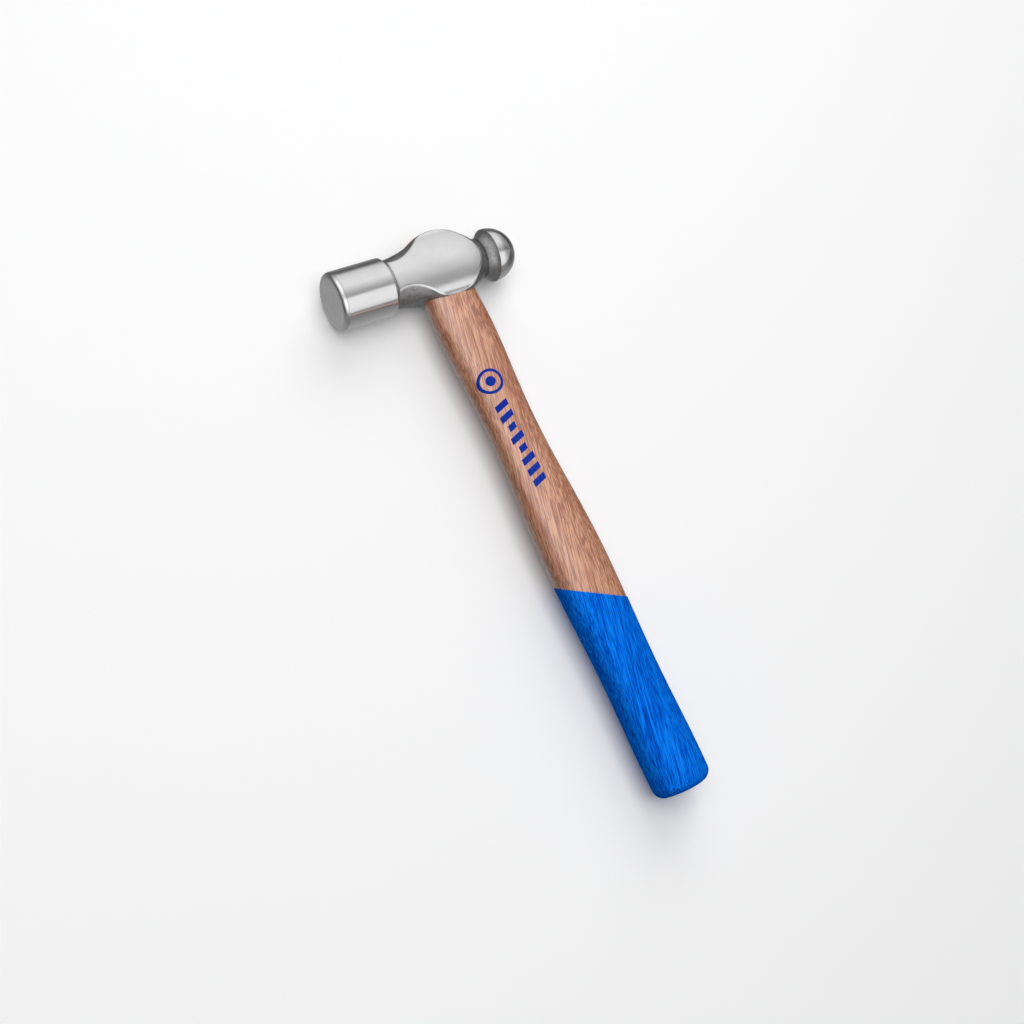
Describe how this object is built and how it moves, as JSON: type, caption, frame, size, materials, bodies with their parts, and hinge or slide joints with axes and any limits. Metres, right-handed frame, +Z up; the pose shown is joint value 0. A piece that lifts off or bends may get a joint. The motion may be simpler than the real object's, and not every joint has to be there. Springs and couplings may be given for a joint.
{
  "type": "ball peen hammer",
  "caption": "Hand hammer for metalwork: forged steel head with a flat round striking face and a ball peen, wedged on an oval hardwood handle with a lacquer-dipped grip.",
  "frame": {"origin": "middle of the hammer's outline in plan, on the surface that the hammer lies on with its cheek upwards", "axes": "+X from the butt of the handle to the top of the head, +Y from the ball peen to the striking face, +Z up through the cheek"},
  "size_m": [0.3101, 0.1064, 0.03],
  "materials": {
    "forged_steel": "ground and polished forged steel",
    "varnished_wood": "clear satin varnish over open grain",
    "wedge_wood": "bare sawn hardwood",
    "wedge_steel": "bare stamped mild steel",
    "blue_lacquer": "semi-gloss dipped lacquer, grain showing through"
  },
  "bodies": {
    "root": {"head": "forged_steel", "handle": "varnished_wood", "wooden_wedge": "wedge_wood", "steel_wedge_front": "wedge_steel", "steel_wedge_rear": "wedge_steel", "dip_coat": "blue_lacquer"}
  },
  "joints": []
}
